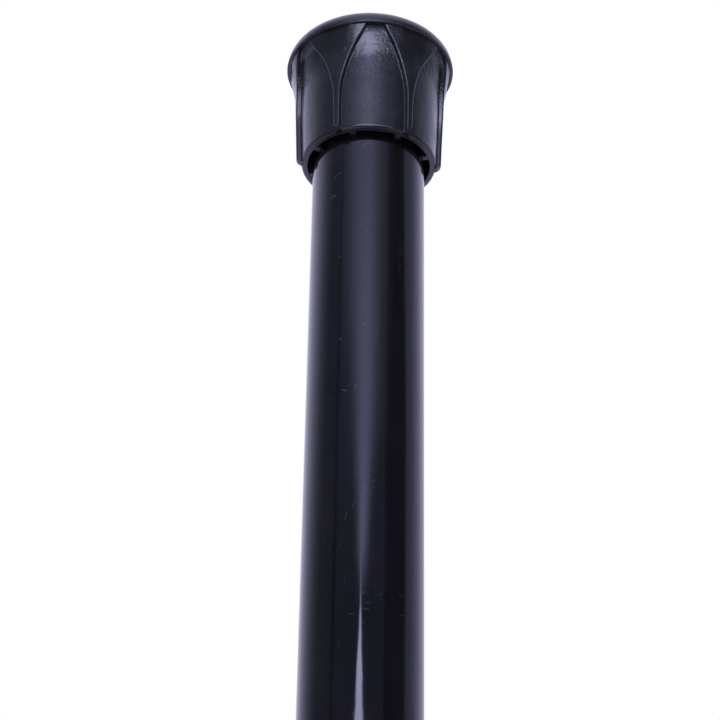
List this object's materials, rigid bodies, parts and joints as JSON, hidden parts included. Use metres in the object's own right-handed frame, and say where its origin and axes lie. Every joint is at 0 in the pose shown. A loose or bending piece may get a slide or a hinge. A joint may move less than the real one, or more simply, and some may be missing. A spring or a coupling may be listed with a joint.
{
  "type": "telescopic tension rod",
  "caption": "Black telescopic spring tension rod: one tube slides in another, each end has a flared panelled foot with a rubber wall pad, with a twist lock and spring inside.",
  "frame": {"origin": "centre of the lower wall pad's face, with the rod closed", "axes": "+Z along the rod towards the foot on the outer tube; the rod slides out along -Z"},
  "size_m": [0.0382, 0.0382, 0.4],
  "materials": {
    "foot_plastic": "satin moulded black",
    "pad_rubber": "matt black",
    "painted_tube": "high gloss black enamel",
    "collar_plastic": "semi gloss moulded black",
    "inner_plastic": "plain moulded",
    "guide_plastic": "natural acetal",
    "nut_plastic": "natural acetal",
    "shoe_rubber": "matt",
    "spring_steel": "oiled wire",
    "plated_steel": "zinc plated"
  },
  "bodies": {
    "outer": {"outer_tube": "painted_tube", "upper_foot_cap": "foot_plastic", "upper_foot_pad": "pad_rubber", "upper_end_plug": "inner_plastic", "mouth_collar": "collar_plastic"},
    "lock_carrier": {"shoe_cage": "guide_plastic", "shoe_retaining_ring": "pad_rubber"},
    "spindle": {"lock_spindle": "plated_steel", "cage_clip": "spring_steel", "nut_stop_clip": "spring_steel", "spring_plunger": "inner_plastic", "plunger_pin": "plated_steel"},
    "inner": {"inner_tube": "painted_tube", "lower_foot_cap": "foot_plastic", "lower_foot_pad": "pad_rubber", "lower_end_plug": "inner_plastic", "reducing_sleeve": "inner_plastic", "guide_ring": "guide_plastic", "end_bush": "guide_plastic", "spring_stop": "inner_plastic", "compression_spring": "spring_steel"},
    "nut": {"wedge_nut": "nut_plastic"},
    "shoe_a": {"brake_shoe_a": "shoe_rubber"},
    "shoe_b": {"brake_shoe_b": "shoe_rubber"},
    "shoe_c": {"brake_shoe_c": "shoe_rubber"}
  },
  "joints": [
    {"name": "extend", "type": "slide", "parent": "outer", "child": "lock_carrier", "axis": [0, 0, -1], "range_m": [0, 0.24]},
    {"name": "twist_lock", "type": "hinge", "parent": "lock_carrier", "child": "spindle", "pos_m": [0, 0, 0.35], "axis": [0, 0, 1], "range_deg": [0, 360]},
    {"name": "spring_travel", "type": "slide", "parent": "spindle", "child": "inner", "axis": [0, 0, 1], "range_m": [0, 0.018], "stiffness_N_per_m": 3300, "springref_m": -0.005, "deforming": ["compression_spring"]},
    {"name": "nut_travel", "type": "slide", "parent": "lock_carrier", "child": "nut", "axis": [0, 0, -1], "range_m": [0, 0.003]},
    {"name": "shoe_a_travel", "type": "slide", "parent": "lock_carrier", "child": "shoe_a", "axis": [1, 0, 0], "range_m": [0, 0.0003]},
    {"name": "shoe_b_travel", "type": "slide", "parent": "lock_carrier", "child": "shoe_b", "axis": [-0.5, 0.866, 0], "range_m": [0, 0.0003]},
    {"name": "shoe_c_travel", "type": "slide", "parent": "lock_carrier", "child": "shoe_c", "axis": [-0.5, -0.866, 0], "range_m": [0, 0.0003]}
  ],
  "couplings": [
    {"joint": "nut_travel", "follows": "twist_lock", "m_per_rad": 0.000477},
    {"joint": "shoe_a_travel", "follows": "twist_lock", "m_per_rad": 0.0000477},
    {"joint": "shoe_b_travel", "follows": "twist_lock", "m_per_rad": 0.0000477},
    {"joint": "shoe_c_travel", "follows": "twist_lock", "m_per_rad": 0.0000477}
  ]
}
